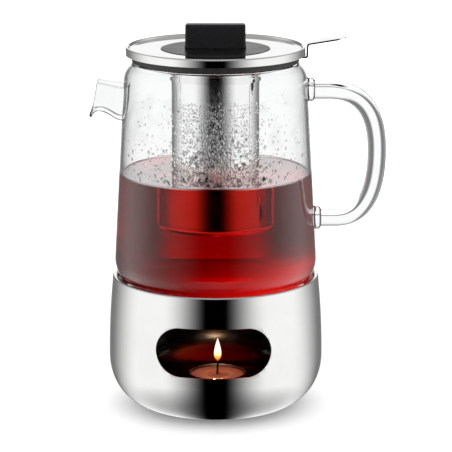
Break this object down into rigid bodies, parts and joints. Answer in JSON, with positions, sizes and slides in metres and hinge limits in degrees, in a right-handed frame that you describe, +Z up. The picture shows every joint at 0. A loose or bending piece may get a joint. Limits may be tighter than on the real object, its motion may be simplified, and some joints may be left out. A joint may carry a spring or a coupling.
{
  "type": "glass teapot",
  "caption": "Glass teapot with a steel lid, a hanging tea strainer and a spun steel candle warmer with a tealight.",
  "frame": {"origin": "on the jug's axis, at the face that the warmer stands on", "axes": "+Z up, -X towards the spout, +X towards the handle and the strainer's tongue, -Y out of the warmer's window"},
  "size_m": [0.1946, 0.1418, 0.2546],
  "materials": {
    "glass": "clear borosilicate glass, fire polished",
    "polished_steel": "mirror-polished stainless steel",
    "strainer_steel": "polished stainless sheet with pierced holes",
    "silicone": "matt black silicone",
    "black_plastic": "satin black moulded plastic",
    "tealight_aluminium": "thin drawn aluminium",
    "wax": "warm candle wax",
    "wick": "charred cotton"
  },
  "bodies": {
    "warmer": {"warmer_shell": "polished_steel", "base_pad": "silicone", "tealight_tray": "polished_steel", "pot_rest_ring": "polished_steel", "rest_buffer_1": "silicone", "rest_buffer_2": "silicone", "rest_buffer_3": "silicone"},
    "tealight": {"tealight_cup": "tealight_aluminium", "tealight_wax": "wax", "wick_tab": "tealight_aluminium", "wick": "wick"},
    "jug": {"jug_body": "glass", "spout": "glass", "handle": "glass", "handle_collar_upper": "glass", "handle_collar_lower": "glass"},
    "strainer": {"strainer_tube": "strainer_steel", "strainer_bottom": "strainer_steel", "strainer_flange": "polished_steel", "strainer_seal": "silicone", "strainer_tongue": "polished_steel"},
    "lid": {"lid_cover": "polished_steel", "lid_liner": "polished_steel", "lid_disc": "black_plastic", "lid_knob": "black_plastic", "knob_washer": "polished_steel", "knob_screw": "polished_steel"}
  },
  "joints": [
    {"name": "jug_lift", "type": "slide", "parent": "warmer", "child": "jug", "axis": [0, 0, 1], "range_m": [0, 0.1]},
    {"name": "tealight_lift", "type": "slide", "parent": "warmer", "child": "tealight", "axis": [0, 0, 1], "range_m": [0, 0.04]},
    {"name": "strainer_lift", "type": "slide", "parent": "jug", "child": "strainer", "axis": [0, 0, 1], "range_m": [0, 0.125]},
    {"name": "lid_lift", "type": "slide", "parent": "strainer", "child": "lid", "axis": [0, 0, 1], "range_m": [0, 0.06]}
  ]
}
